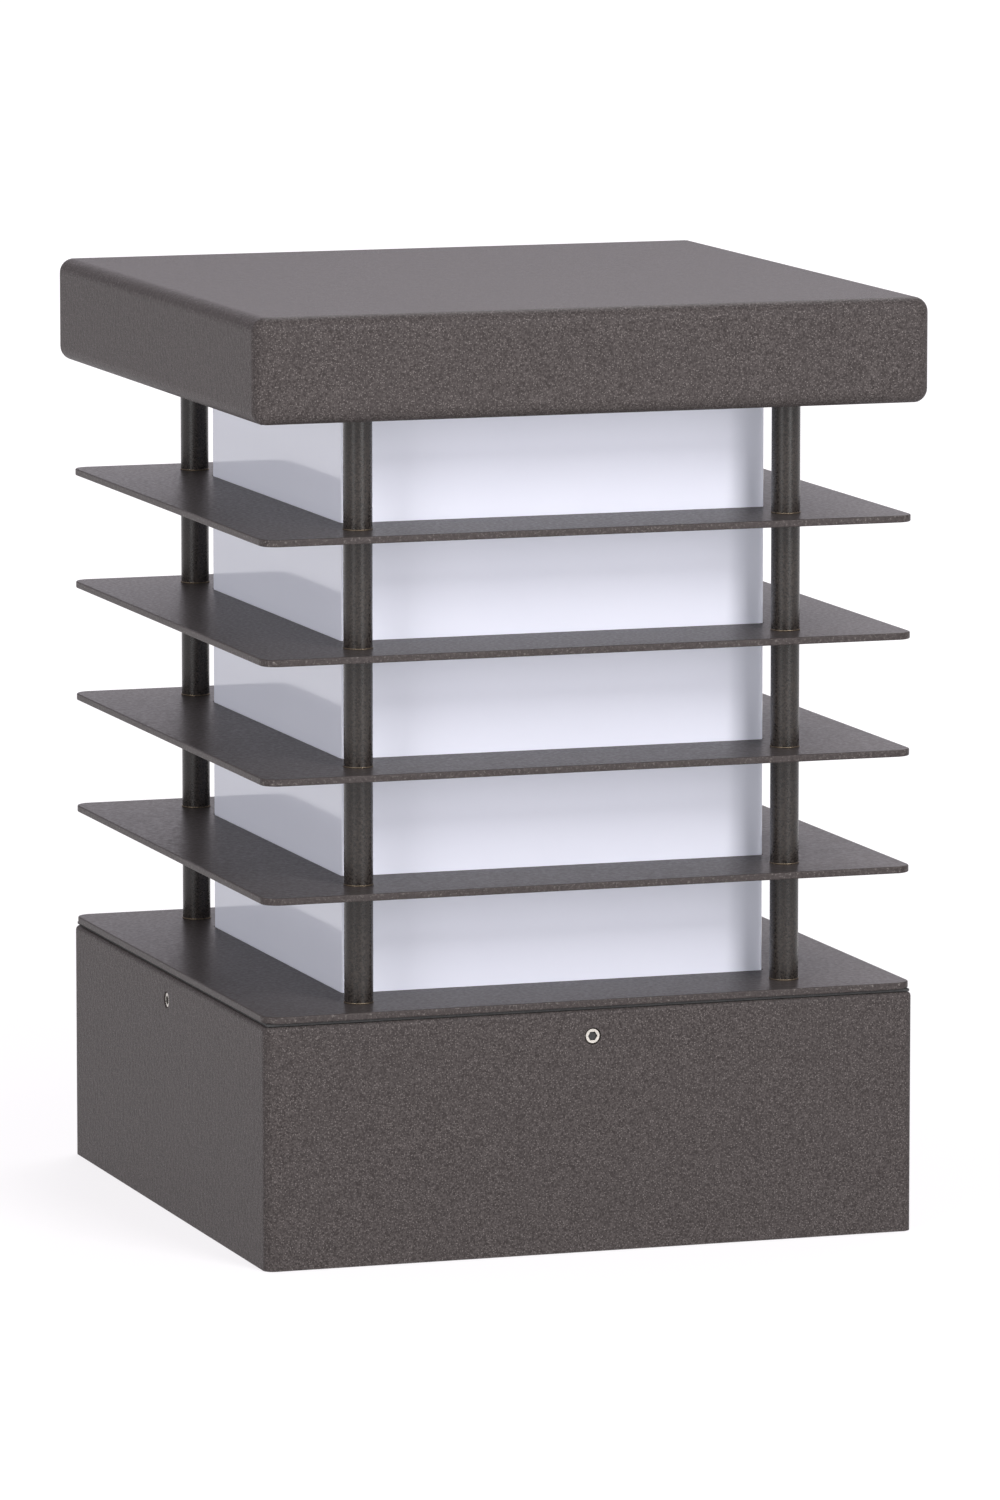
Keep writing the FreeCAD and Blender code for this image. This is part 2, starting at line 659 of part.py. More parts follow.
def make_earth_stud():
    x, y = "stud_x", "stud_y"
    keep(cylinder("stud", "stud_diameter", "floor_thickness + stud_height - screw_end_cover", x, y,
                  "screw_end_cover"), "earth_stud")
    keep(nut("stud_nut", "nut_flats", "stud_diameter + 2 * thread_clearance", "nut_height", x, y,
             "floor_thickness + lug_thickness"), "earth_nut")
    eye = cylinder("lug_eye", "lug_diameter", "lug_thickness", x, y, "floor_thickness")
    barrel = block("lug_barrel", "lug_barrel_length", "lug_barrel_width", "lug_barrel_height",
                   f"{x} + lug_diameter / 2 + lug_barrel_length / 2", y, "floor_thickness")
    tongue = block("lug_tongue", "lug_diameter", "lug_barrel_width", "lug_thickness",
                   f"{x} + lug_diameter / 2", y, "floor_thickness")
    hole = cylinder("lug_hole", "stud_diameter + 2 * rod_clearance", "lug_barrel_height", x, y,
                    "floor_thickness")
    keep(cut("lug", fuse("lug_blank", [eye, tongue, barrel]), [hole]), "earth_lug")


def rounded_path(points):
    """Straight runs joined by tangent arcs, each as large as its two runs allow."""
    edges = []
    start = points[0]
    for before, corner, after in zip(points, points[1:], points[2:]):
        into = (corner - before).normalize()
        out = (after - corner).normalize()
        turn = into.getAngle(out)
        shorter = min((corner - before).Length, (after - corner).Length)
        back = BEND_SHARE * shorter
        print(f"bend radius {back / math.tan(turn / 2):.1f} mm")
        arc_start = corner - into * back
        arc_end = corner + out * back
        inward = (out - into).normalize()
        radius = back / math.tan(turn / 2)
        middle = corner + inward * (radius / math.cos(turn / 2) - radius)
        edges.append(Part.LineSegment(start, arc_start).toShape())
        edges.append(Part.Arc(arc_start, middle, arc_end).toShape())
        start = arc_end
    edges.append(Part.LineSegment(start, points[-1]).toShape())
    return Part.Wire(edges)


def make_wire(label, points):
    """An insulated wire along a route, its section swept at right angles to it."""
    path = rounded_path(points)
    radius = size("wire_diameter") / 2
    direction = (points[1] - points[0]).normalize()
    section = Part.Wire([Part.Circle(points[0], direction, radius).toShape()])
    solid = path.makePipeShell([section], True, False)
    expected = math.pi * radius ** 2 * path.Length
    if abs(solid.Volume / expected - 1) > 0.01:
        raise SystemExit(f"{label}: volume {solid.Volume:.1f} is not {expected:.1f}")
    item = keep(doc.addObject("Part::Feature", label), label)
    item.Shape = solid


def make_wires():
    sleeve_z = size("floor_thickness") + size("sleeve_height")
    terminal_face = size("terminal_y") - size("terminal_depth") / 2
    inserted = terminal_face + size("wire_inserted")
    spread = size("lead_spread")
    pitch = size("terminal_pitch")
    bracket_top = size("floor_thickness") + size("bracket_height")
    rise_end = bracket_top + size("nipple_above")
    under = bracket_top - size("bracket_sheet") - size("nipple_below") - size("wire_sag")
    for name, sign, start_x in (("line", 1, pitch), ("neutral", -1, 0.0)):
        offset = sign * size("wire_offset")
        make_wire(f"wire_{name}", [
            V(start_x, inserted, sleeve_z),
            V(start_x + spread / 2, terminal_face - size("lead_length"), sleeve_z + spread),
            V(offset, 0.0, under),
            V(offset, 0.0, rise_end),
        ])
    lug_end = size("stud_x") + size("lug_diameter") / 2 + size("lug_barrel_length")
    lug_z = size("floor_thickness") + size("lug_barrel_height") / 2
    make_wire("wire_earth", [
        V(-pitch, inserted, sleeve_z),
        V(-pitch - spread, terminal_face - size("earth_lead_length"), sleeve_z - spread / 2),
        V(lug_end + size("earth_approach"), size("stud_y"), lug_z),
        V(lug_end, size("stud_y"), lug_z),
    ])


# ---- head -------------------------------------------------------------------------------


def make_plate(label, lift):
    """A louvre plate: rounded corners, a window for the diffuser and four rod holes."""
    plate = Moulding(label, lift)
    outline = plate.sketch("outline")
    draw_square(outline, "plate_width")
    plate.pad(outline, "plate_thickness")
    plate.round_edges("corners", "plate_corner", vertical)
    plate.round_edges("coat", "coat_edge_radius", lambda edge: not vertical(edge))
    window = plate.sketch("window")
    draw_square(window, DIFFUSER_HOLE)
    plate.pocket_through(window)
    half_window = size("plate_width") / 2 - size("louvre_margin") + size("diffuser_clearance")
    plate.round_edges("window_corners", "diffuser_corner + diffuser_clearance", lambda edge: (
        vertical(edge) and abs(reach(edge) - half_window) < 0.01))
    holes = plate.sketch("rod_holes")
    draw_four_circles(holes, ROD_HOLE, POST_X, POST_Y)
    plate.pocket_through(holes)


def make_skirt_frame():
    """The pan that drops into the base: grub screws press on its skirt, the diffuser stands in it."""
    frame = Moulding("skirt_frame", f"{COVER_BOTTOM} - skirt_height")
    outline = frame.sketch("outline")
    draw_square(outline, SKIRT_WIDTH)
    frame.pad(outline, "skirt_height")
    frame.round_edges("corners", "skirt_corner", vertical)
    inside = frame.sketch("inside")
    draw_square(inside, f"{SKIRT_WIDTH} - 2 * skirt_wall")
    frame.pocket_up(inside, "skirt_height - flange_thickness")
    window = frame.sketch("window", height="skirt_height")
    draw_square(window, LAMP_WINDOW)
    frame.pocket_down(window, "flange_thickness")
    rebate = frame.sketch("rebate", height="skirt_height")
    draw_square(rebate, DIFFUSER_HOLE)
    frame.pocket_down(rebate, "rebate_depth")
    holes = frame.sketch("rod_holes", height="skirt_height")
    draw_four_circles(holes, ROD_HOLE, POST_X, POST_Y)
    frame.pocket_down(holes, "flange_thickness")


def make_square_ring(label, lift, outer, inner, height):
    seal = Moulding(label, lift)
    outline = seal.sketch("outline")
    draw_square(outline, outer)
    draw_square(outline, inner)
    seal.pad(outline, height)


def make_seals():
    gasket_width = f"({BASE_WIDTH} - 2 * gasket_inset)"
    gasket_height = "(cover_gap - seat_clearance)"
    make_square_ring("head_gasket", f"{COVER_BOTTOM} - {gasket_height}", gasket_width,
                     f"{gasket_width} - 2 * gasket_width", gasket_height)
    seal_outer = f"({DIFFUSER_WIDTH} - 2 * seal_inset)"
    seal_inner = f"({DIFFUSER_WIDTH} - 2 * diffuser_wall)"
    make_square_ring("diffuser_seal_lower", DIFFUSER_SEAT, seal_outer, seal_inner, "seal_thickness")
    make_square_ring("diffuser_seal_upper", DIFFUSER_TOP, seal_outer, seal_inner, "seal_thickness")


def make_diffuser():
    tube = Moulding("diffuser", DIFFUSER_BOTTOM)
    outline = tube.sketch("outline")
    draw_square(outline, DIFFUSER_WIDTH)
    tube.pad(outline, f"{DIFFUSER_TOP} - {DIFFUSER_BOTTOM}")
    tube.round_edges("corners", "diffuser_corner", vertical)
    bore = tube.sketch("bore")
    draw_square(bore, f"{DIFFUSER_WIDTH} - 2 * diffuser_wall")
    tube.pocket_through(bore)

    tray = Moulding("top_reflector", f"{CLOSING_BOTTOM} - reflector_thickness")
    sheet_outline = tray.sketch("outline")
    draw_square(sheet_outline, f"{DIFFUSER_WIDTH} - 2 * diffuser_wall - 2 * reflector_clearance")
    tray.pad(sheet_outline, "reflector_thickness")


def make_cap():
    cap = Moulding("cap", CAP_BOTTOM)
    outline = cap.sketch("outline")
    draw_square(outline, CAP_WIDTH)
    cap.pad(outline, "cap_height")
    cap.round_edges("edges", "cap_edge_radius", lambda edge: True)
    inside = cap.sketch("inside")
    draw_square(inside, CAP_INSIDE)
    cap.pocket_up(inside, "cap_height - cap_top_thickness")
    closing = "(cap_recess + plate_thickness)"
    bosses = cap.sketch("bosses", height=closing)
    draw_four_circles(bosses, "boss_diameter", BOSS_X, BOSS_Y)
    cap.pad(bosses, f"cap_height - {closing} - cap_top_thickness / 2")
    threads = cap.sketch("boss_threads", height=closing)
    draw_four_circles(threads, "cap_screw_diameter + 2 * thread_clearance", BOSS_X, BOSS_Y)
    cap.pocket_up(threads, "boss_hole_depth")

    plate = Moulding("cap_closing_plate", CLOSING_BOTTOM)
    outline = plate.sketch("outline")
    draw_square(outline, f"{CAP_INSIDE} - 2 * cap_fit_clearance")
    plate.pad(outline, "plate_thickness")
    holes = plate.sketch("holes")
    draw_four_circles(holes, ROD_HOLE, POST_X, POST_Y)
    draw_four_circles(holes, "cap_screw_diameter + 2 * rod_clearance", BOSS_X, BOSS_Y)
    plate.pocket_through(holes)

    screws = []
    for corner, (sign_x, sign_y) in CORNERS.items():
        x, y = times(sign_x, BOSS_X), times(sign_y, BOSS_Y)
        screws.append(fuse(f"cap_screw_{corner}", [
            cylinder(f"cap_screw_head_{corner}", "cap_screw_head", "cap_screw_head_height", x, y,
                     f"{CLOSING_BOTTOM} - cap_screw_head_height"),
            cylinder(f"cap_screw_shank_{corner}", "cap_screw_diameter", "cap_screw_length", x, y,
                     CLOSING_BOTTOM),
        ]))
    keep(group("cap_screw_group", screws), "cap_screws")


def make_spacer(name, x, y, bottom, length):
    bevel = "post_diameter - 2 * post_chamfer"
    blank = fuse(f"{name}_blank", [
        cone(f"{name}_foot", bevel, "post_diameter", "post_chamfer", x, y, bottom),
        cylinder(f"{name}_tube", "post_diameter", f"{length} - 2 * post_chamfer", x, y,
                 f"{bottom} + post_chamfer"),
        cone(f"{name}_head", "post_diameter", bevel, "post_chamfer", x, y,
             f"{bottom} + {length} - post_chamfer"),
    ])
    return cut(name, blank, [cylinder(f"{name}_bore", ROD_HOLE, length, x, y, bottom)])


def make_posts():
    """At each corner a tie rod runs through the plates and one spacer tube a bay."""
    nuts_lower = []
    nuts_upper = []
    washers_lower = []
    washers_upper = []
    lower_washer = f"({FLANGE_BOTTOM} - washer_thickness)"
    lower_nut = f"({lower_washer} - nut_height)"
    upper_nut = f"({CLOSING_TOP} + washer_thickness)"
    rod_bottom = f"({lower_nut} - rod_overrun)"
    rod_top = f"({upper_nut} + nut_height + rod_overrun)"
    thread_hole = "rod_diameter + 2 * thread_clearance"
    for corner, (sign_x, sign_y) in CORNERS.items():
        x, y = times(sign_x, POST_X), times(sign_y, POST_Y)
        keep(cylinder(f"rod_{corner}", "rod_diameter", f"{rod_top} - {rod_bottom}", x, y, rod_bottom),
             f"tie_rod_{corner}")
        tubes = []
        for bay in range(LOUVRES + 1):
            bottom = f"({COVER_TOP} + {bay} * {PITCH})"
            length = "spacer_length" if bay < LOUVRES else "(top_bay_height + cap_recess)"
            tubes.append(make_spacer(f"spacer_{corner}_{bay + 1}", x, y, bottom, length))
        keep(group(f"spacer_group_{corner}", tubes), f"spacers_{corner}")
        washers_lower.append(ring(f"washer_lower_{corner}", "washer_diameter", ROD_HOLE,
                                  "washer_thickness", x, y, lower_washer))
        washers_upper.append(ring(f"washer_upper_{corner}", "washer_diameter", ROD_HOLE,
                                  "washer_thickness", x, y, CLOSING_TOP))
        nuts_lower.append(nut(f"nut_lower_{corner}", "nut_flats", thread_hole, "nut_height", x, y,
                              lower_nut))
        nuts_upper.append(nut(f"nut_upper_{corner}", "nut_flats", thread_hole, "nut_height", x, y,
                              upper_nut))
    keep(group("nuts_lower_group", nuts_lower), "rod_nuts_lower")
    keep(group("nuts_upper_group", nuts_upper), "rod_nuts_upper")
    keep(group("washers_lower_group", washers_lower), "rod_washers_lower")
    keep(group("washers_upper_group", washers_upper), "rod_washers_upper")


# ---- checks and files -------------------------------------------------------------------


def check_document():
    for item in doc.Objects:
        if {"Invalid", "Error"} & set(item.State):
            raise SystemExit(f"{item.Label} failed: {item.State}")
        base = getattr(item, "BaseFeature", None)
        if item.TypeId == "PartDesign::Pocket" and item.Shape.Volume > base.Shape.Volume - 0.1:
            raise SystemExit(f"{item.Label} cuts nothing")
    labels = [item.Label for item in pieces]
    if len(set(labels)) != len(labels):
        raise SystemExit("two pieces share a label")
    for item in pieces:
        if item.Shape.isNull() or not item.Shape.isValid() or not item.Shape.Solids:
            raise SystemExit(f"{item.Label} has no valid solid")


def write_pieces():
    os.makedirs("parts", exist_ok=True)
    for item in pieces:
        item.Shape.exportStep(f"parts/{item.Label}.step")
    box = FreeCAD.BoundBox()
    for item in pieces:
        box.add(item.Shape.BoundBox)
    print(f"{len(pieces)} pieces, {box.XLength:.1f} x {box.YLength:.1f} x {box.ZLength:.1f} mm")


fill_sheet()
make_base_box()
make_cable_gland()
make_bracket()
make_lampholder()
make_lamp()
make_terminal_block()
make_earth_stud()
make_wires()
for side_name, signs in SIDES.items():
    make_grub_screw(side_name, *signs)
make_plate("cover_plate", COVER_BOTTOM)
for number in range(1, LOUVRES + 1):
    make_plate(f"louvre_plate_{number}", f"{COVER_BOTTOM} + {number} * {PITCH}")
make_skirt_frame()
make_seals()
make_diffuser()
make_cap()
make_posts()
doc.recompute()
check_document()
write_pieces()
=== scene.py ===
"""Looks for the square louvred bollard light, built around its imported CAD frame.  Metres, +Z up."""

import json
import math

import bmesh
import bpy
from mathutils import Matrix, Vector


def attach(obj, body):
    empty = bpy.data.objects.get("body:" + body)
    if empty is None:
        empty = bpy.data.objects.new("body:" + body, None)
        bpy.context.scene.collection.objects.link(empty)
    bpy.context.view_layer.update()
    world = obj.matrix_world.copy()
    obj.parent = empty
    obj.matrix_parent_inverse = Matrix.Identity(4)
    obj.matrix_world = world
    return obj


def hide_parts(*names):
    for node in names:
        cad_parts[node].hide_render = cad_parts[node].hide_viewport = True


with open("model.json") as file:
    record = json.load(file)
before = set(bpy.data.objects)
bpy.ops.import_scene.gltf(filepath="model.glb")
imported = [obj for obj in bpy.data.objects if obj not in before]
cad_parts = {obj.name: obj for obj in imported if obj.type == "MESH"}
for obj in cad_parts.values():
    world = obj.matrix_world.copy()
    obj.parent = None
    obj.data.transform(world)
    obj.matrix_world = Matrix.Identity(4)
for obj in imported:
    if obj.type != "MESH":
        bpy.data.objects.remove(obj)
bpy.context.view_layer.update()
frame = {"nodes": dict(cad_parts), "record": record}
NODES = frame["nodes"]
MM = 0.001

# ---- camera -----------------------------------------------------------------------------

CAMERA_AZIMUTH = math.radians(-18.55)  # from the front, towards the left face
CAMERA_ELEVATION = math.radians(8.11)
CAMERA_DISTANCE = 2.8575
CAMERA_LENS = 227.7  # mm, as is the sensor
CAMERA_SENSOR = 36
CAMERA_REACH = 100
AIM_RIGHT = 0.0047  # the frame's centre, off the light's own axis
AIM_UP = 0.0098
AIM_HEIGHT = 0.125


def make_camera():
    cos_a, sin_a = math.cos(CAMERA_AZIMUTH), math.sin(CAMERA_AZIMUTH)
    cos_e, sin_e = math.cos(CAMERA_ELEVATION), math.sin(CAMERA_ELEVATION)
    back = Vector((sin_a * cos_e, -cos_a * cos_e, sin_e))
    right = Vector((cos_a, sin_a, 0))
    up = back.cross(right)
    aim = Vector((0, 0, AIM_HEIGHT)) + right * AIM_RIGHT + up * AIM_UP
    data = bpy.data.cameras.new("camera")
    data.lens = CAMERA_LENS
    data.sensor_width = CAMERA_SENSOR
    data.clip_end = CAMERA_REACH
    camera = bpy.data.objects.new("camera", data)
    turn = Matrix((right, up, back)).transposed().to_4x4()
    camera.matrix_world = Matrix.Translation(aim + back * CAMERA_DISTANCE) @ turn
    bpy.context.scene.collection.objects.link(camera)
    bpy.context.scene.camera = camera


# ---- materials --------------------------------------------------------------------------

MIX_COLOURS = (6, 7)  # the Mix node's own colour sockets
MIX_RESULT = 2
FLECK_CORE = 0.4  # share of a fleck's radius over which it is full


class Shader:
    """A material's node tree, with short names for the nodes used here."""

    def __init__(self, name):
        self.material = bpy.data.materials.new(name)
        self.material.use_nodes = True
        self.tree = self.material.node_tree
        self.surface = self.tree.nodes["Principled BSDF"]
        coordinates = self.node("ShaderNodeTexCoord")
        self.place = coordinates.outputs["Object"]
        self.facing = coordinates.outputs["Normal"]

    def node(self, kind, **settings):
        node = self.tree.nodes.new(kind)
        for key, value in settings.items():
            setattr(node, key, value)
        return node

    def link(self, source, target):
        self.tree.links.new(source, target)

    def set(self, **values):
        """Fixed values on the shader's own sockets, named with underscores."""
        for key, value in values.items():
            self.surface.inputs[key.replace("_", " ")].default_value = value

    def noise(self, scale, detail=2.0, roughness=0.5):
        noise = self.node("ShaderNodeTexNoise")
        noise.inputs["Scale"].default_value = scale
        noise.inputs["Detail"].default_value = detail
        noise.inputs["Roughness"].default_value = roughness
        self.link(self.place, noise.inputs["Vector"])
        return noise.outputs["Fac"]

    def flecks(self, scale, share, radius):
        """Soft round specks, one in each cell of a grid, shown in a share of the cells."""
        voronoi = self.node("ShaderNodeTexVoronoi")
        voronoi.inputs["Scale"].default_value = scale
        self.link(self.place, voronoi.inputs["Vector"])
        split = self.node("ShaderNodeSeparateColor")
        self.link(voronoi.outputs["Color"], split.inputs["Color"])
        chosen = self.ramp(split.outputs["Red"], 1 - share, 1.0)
        spot = self.ramp(voronoi.outputs["Distance"], radius * FLECK_CORE, radius, start=1.0, end=0.0)
        return self.product(chosen, spot)

    def ramp(self, value, low, high, start=0.0, end=1.0):
        """Map a range of a value to another range, clamped."""
        node = self.node("ShaderNodeMapRange")
        node.inputs["From Min"].default_value = low
        node.inputs["From Max"].default_value = high
        node.inputs["To Min"].default_value = start
        node.inputs["To Max"].default_value = end
        self.link(value, node.inputs["Value"])
        return node.outputs["Result"]

    def blend(self, amount, first, second):
        """Mix two colours; each is a tuple or another node's output."""
        node = self.node("ShaderNodeMix", data_type="RGBA")
        self.link(amount, node.inputs["Factor"])
        for index, colour in zip(MIX_COLOURS, (first, second)):
            if isinstance(colour, tuple):
                node.inputs[index].default_value = (*colour, 1)
            else:
                self.link(colour, node.inputs[index])
        return node.outputs[MIX_RESULT]

    def sum(self, first, second, weight=1.0):
        """The first value, and the second times its weight."""
        node = self.node("ShaderNodeMath", operation="MULTIPLY_ADD")
        self.link(second, node.inputs[0])
        node.inputs[1].default_value = weight
        self.link(first, node.inputs[2])
        return node.outputs["Value"]

    def product(self, first, second):
        node = self.node("ShaderNodeMath", operation="MULTIPLY")
        self.link(first, node.inputs[0])
        self.link(second, node.inputs[1])
        return node.outputs["Value"]

    def level(self):
        """1 where a piece's surface lies level, 0 where it stands upright."""
        split = self.node("ShaderNodeSeparateXYZ")
        self.link(self.facing, split.inputs["Vector"])
        size = self.node("ShaderNodeMath", operation="ABSOLUTE")
        self.link(split.outputs["Z"], size.inputs[0])
        return size.outputs["Value"]

    def colour(self, source):
        self.link(source, self.surface.inputs["Base Color"])

    def rough(self, source):
        self.link(source, self.surface.inputs["Roughness"])

    def metallic(self, source):
        self.link(source, self.surface.inputs["Metallic"])

    def bump(self, height, strength, depth):
        bump = self.node("ShaderNodeBump")
        bump.inputs["Strength"].default_value = strength
        bump.inputs["Distance"].default_value = depth
        self.link(height, bump.inputs["Height"])
        self.link(bump.outputs["Normal"], self.surface.inputs["Normal"])


COAT_IOR = 1.45
ACRYLIC_IOR = 1.49
SHEEN = (1.0, 0.93, 1.0, 1)  # the coat's faint purple cast at a glance

# Colours of the three coats: dark and light grain, then what lies in or on it.
TEXTURED_DARK = (0.031, 0.0265, 0.0255)
TEXTURED_LIGHT = (0.071, 0.062, 0.060)
TEXTURED_CLOUD = (0.049, 0.043, 0.042)
TEXTURED_FLAKE = (0.165, 0.148, 0.142)
SATIN_DARK = (0.036, 0.031, 0.030)
SATIN_LIGHT = (0.059, 0.051, 0.049)
SATIN_WORN = (0.17, 0.155, 0.145)
POST_DARK = (0.008, 0.0062, 0.0052)
POST_LIGHT = (0.028, 0.022, 0.018)

OPAL_COOL = (0.755, 0.755, 0.85)
OPAL_WARM = (0.785, 0.785, 0.875)
OPAL_PAINTED_GLOW = (0.72, 0.90, 1.0, 1)  # painted glow: a faint blue-white light of the acrylic's own, though the lamp inside is off
OPAL_PAINTED_GLOW_STRENGTH = 0.07

# Tint, roughness and grain scale.
METALS = {
    "stainless_steel": ((0.60, 0.57, 0.52), 0.26, 900),
    "zinc_plated_steel": ((0.62, 0.63, 0.65), 0.32, 900),
    "cast_aluminium": ((0.52, 0.52, 0.51), 0.42, 1300),
    "bare_brass": ((0.80, 0.60, 0.28), 0.3, 900),
    "tinned_copper": ((0.72, 0.70, 0.68), 0.3, 900),
    "lamp_nickel": ((0.74, 0.72, 0.68), 0.25, 900),
    # painted highlight: bright bronze for the rings at the posts' feet, standing in for light caught
    # on their edges
    "painted_foot_highlight": ((0.20, 0.16, 0.115), 0.5, 1500),
}

# Tint, roughness, grain scale and bump strength.
PLASTICS = {
    "black_rubber": ((0.022, 0.022, 0.022), 0.75, 1500, 0.1),
    "white_enamel": ((0.86, 0.86, 0.84), 0.25, 300, 0.05),
    "black_nylon": ((0.035, 0.035, 0.038), 0.5, 1500, 0.1),
    "white_porcelain": ((0.80, 0.79, 0.74), 0.15, 120, 0.08),
    "natural_nylon": ((0.78, 0.74, 0.63), 0.45, 1500, 0.1),
    "line_insulation": ((0.16, 0.065, 0.03), 0.4, 1500, 0.1),
    "neutral_insulation": ((0.03, 0.12, 0.42), 0.4, 1500, 0.1),
    "earth_insulation": ((0.06, 0.32, 0.07), 0.4, 1500, 0.1),
    "lamp_white_plastic": ((0.84, 0.84, 0.83), 0.3, 400, 0.05),
    "lamp_opal_plastic": ((0.88, 0.88, 0.87), 0.5, 600, 0.05),
    "led_board_white": ((0.80, 0.81, 0.80), 0.4, 1500, 0.1),
    "driver_potting": ((0.05, 0.05, 0.055), 0.6, 1500, 0.1),
}

GRAIN_LOW = 0.35  # the middle range of a noise, where nearly all of its values lie
GRAIN_HIGH = 0.65
CLOUD_LOW = 0.3  # a wider range, for softer clouds
CLOUD_HIGH = 0.7
ROUGHNESS_SPREAD = 0.15
GRAIN_DEPTH = 0.02 * MM
METAL_SHADE = 0.9  # of the tint, in the grain's darks
METAL_BUMP = 0.06
PLASTIC_SHADE = 0.95


def textured_coat(name):
    """Anthracite powder coat with a fine pebbled skin and small metallic flakes in it."""
    s = Shader(name)
    pebbles = s.noise(scale=1600, detail=3.0, roughness=0.65)
    flakes = s.flecks(scale=1900, share=0.85, radius=0.42)
    tone = s.blend(s.ramp(pebbles, 0.38, 0.62), TEXTURED_DARK, TEXTURED_LIGHT)
    clouds = s.ramp(s.noise(scale=40), CLOUD_LOW, CLOUD_HIGH, start=0.0, end=0.3)
    s.colour(s.blend(flakes, s.blend(clouds, tone, TEXTURED_CLOUD), TEXTURED_FLAKE))
    s.metallic(s.ramp(flakes, 0.0, 1.0, start=0.0, end=0.45))
    s.rough(s.ramp(pebbles, GRAIN_LOW, GRAIN_HIGH, start=0.34, end=0.44))
    s.set(IOR=COAT_IOR, Specular_IOR_Level=0.045, Specular_Tint=SHEEN)
    lumps = s.sum(s.sum(pebbles, flakes, 0.3), s.noise(scale=560, detail=1.0), 1.5)
    s.bump(lumps, strength=0.9, depth=0.12 * MM)
    return s.material


def satin_coat(name):
    """The same coat sprayed thinner on sheet: smoother, its cut edges worn to pale specks."""
    s = Shader(name)
    peel = s.noise(scale=900, detail=3.0, roughness=0.6)
    grain = s.noise(scale=2400)
    tone = s.blend(s.ramp(s.sum(peel, grain, 0.6), 0.62, 0.98), SATIN_DARK, SATIN_LIGHT)
    edge = s.ramp(s.level(), 0.5, 0.95, start=1.0, end=0.0)
    specks = s.ramp(s.noise(scale=1300, detail=3.0, roughness=0.7), 0.55, 0.72)
    s.colour(s.blend(s.product(edge, specks), tone, SATIN_WORN))
    s.rough(s.ramp(peel, GRAIN_LOW, GRAIN_HIGH, start=0.28, end=0.42))
    s.set(IOR=COAT_IOR, Specular_IOR_Level=0.07, Specular_Tint=SHEEN)
    s.bump(s.sum(peel, grain, 0.5), strength=0.25, depth=0.05 * MM)
    return s.material


def post_coat(name):
    """A darker and glossier coat, as sprayed on the round posts."""
    s = Shader(name)
    grain = s.noise(scale=1500)
    s.colour(s.blend(s.ramp(grain, GRAIN_LOW, GRAIN_HIGH), POST_DARK, POST_LIGHT))
    s.rough(s.ramp(grain, GRAIN_LOW, GRAIN_HIGH, start=0.24, end=0.36))
    s.set(IOR=COAT_IOR, Specular_IOR_Level=0.5)
    s.bump(grain, strength=0.4, depth=0.05 * MM)
    return s.material


def opal_acrylic(name):
    """Glossy milk-white acrylic, faintly clouded, with a painted glow of its own though the lamp is
    off.
    """
    s = Shader(name)
    s.colour(s.blend(s.noise(scale=35), OPAL_COOL, OPAL_WARM))
    s.rough(s.ramp(s.noise(scale=220), CLOUD_LOW, CLOUD_HIGH, start=0.05, end=0.09))
    # painted glow: the acrylic gives off faint light though the lamp inside is off
    s.set(Emission_Color=OPAL_PAINTED_GLOW, Emission_Strength=OPAL_PAINTED_GLOW_STRENGTH)
    s.set(IOR=ACRYLIC_IOR, Specular_IOR_Level=0.2)
    s.bump(s.noise(scale=60, detail=1.0), strength=0.05, depth=0.1 * MM)
    return s.material


def grained(name, tint, roughness, grain, shade, strength):
    """An even material whose tone, roughness and skin all follow one fine grain."""
    s = Shader(name)
    skin = s.noise(grain)
    dark = tuple(shade * c for c in tint)
    smooth = roughness * (1 - ROUGHNESS_SPREAD)
    coarse = roughness * (1 + ROUGHNESS_SPREAD)
    s.colour(s.blend(s.ramp(skin, GRAIN_LOW, GRAIN_HIGH), dark, tint))
    s.rough(s.ramp(skin, GRAIN_LOW, GRAIN_HIGH, smooth, coarse))
    s.bump(skin, strength, GRAIN_DEPTH)
    return s


def metal(name, tint, roughness, grain):
    s = grained(name, tint, roughness, grain, METAL_SHADE, METAL_BUMP)
    s.set(Metallic=1.0)
    return s.material


def plastic(name, tint, roughness, grain, strength):
    return grained(name, tint, roughness, grain, PLASTIC_SHADE, strength).material


def make_materials():
    materials = {
        "textured_powder_coat": textured_coat("textured_powder_coat"),
        "satin_powder_coat": satin_coat("satin_powder_coat"),
        "post_coat": post_coat("post_coat"),
        "opal_acrylic": opal_acrylic("opal_acrylic"),
    }
    for name, values in METALS.items():
        materials[name] = metal(name, *values)
    for name, values in PLASTICS.items():
        materials[name] = plastic(name, *values)
    return materials


def dress_nodes(materials):
    """Give each CAD node the material of its slot in the record."""
    for entry in frame["record"]["subparts"]:
        data = NODES[entry["node"]].data
        data.materials.clear()
        data.materials.append(materials[entry["material_slot"]])


# ---- added pieces -----------------------------------------------------------------------


WELD = 0.001 * MM  # corners closer than this are one


def add_piece(name, mesh, body, material):
    """Turn a finished bmesh into a piece that rides on a body."""
    data = bpy.data.meshes.new(name)
    mesh.to_mesh(data)
    mesh.free()
    data.materials.append(material)
    piece = bpy.data.objects.new(name, data)
    bpy.context.scene.collection.objects.link(piece)
    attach(piece, body)
    return piece


def box_of(points):
    """The lowest and the highest corner round some points."""
    low = Vector(min(point[k] for point in points) for k in range(3))
    high = Vector(max(point[k] for point in points) for k in range(3))
    return low, high


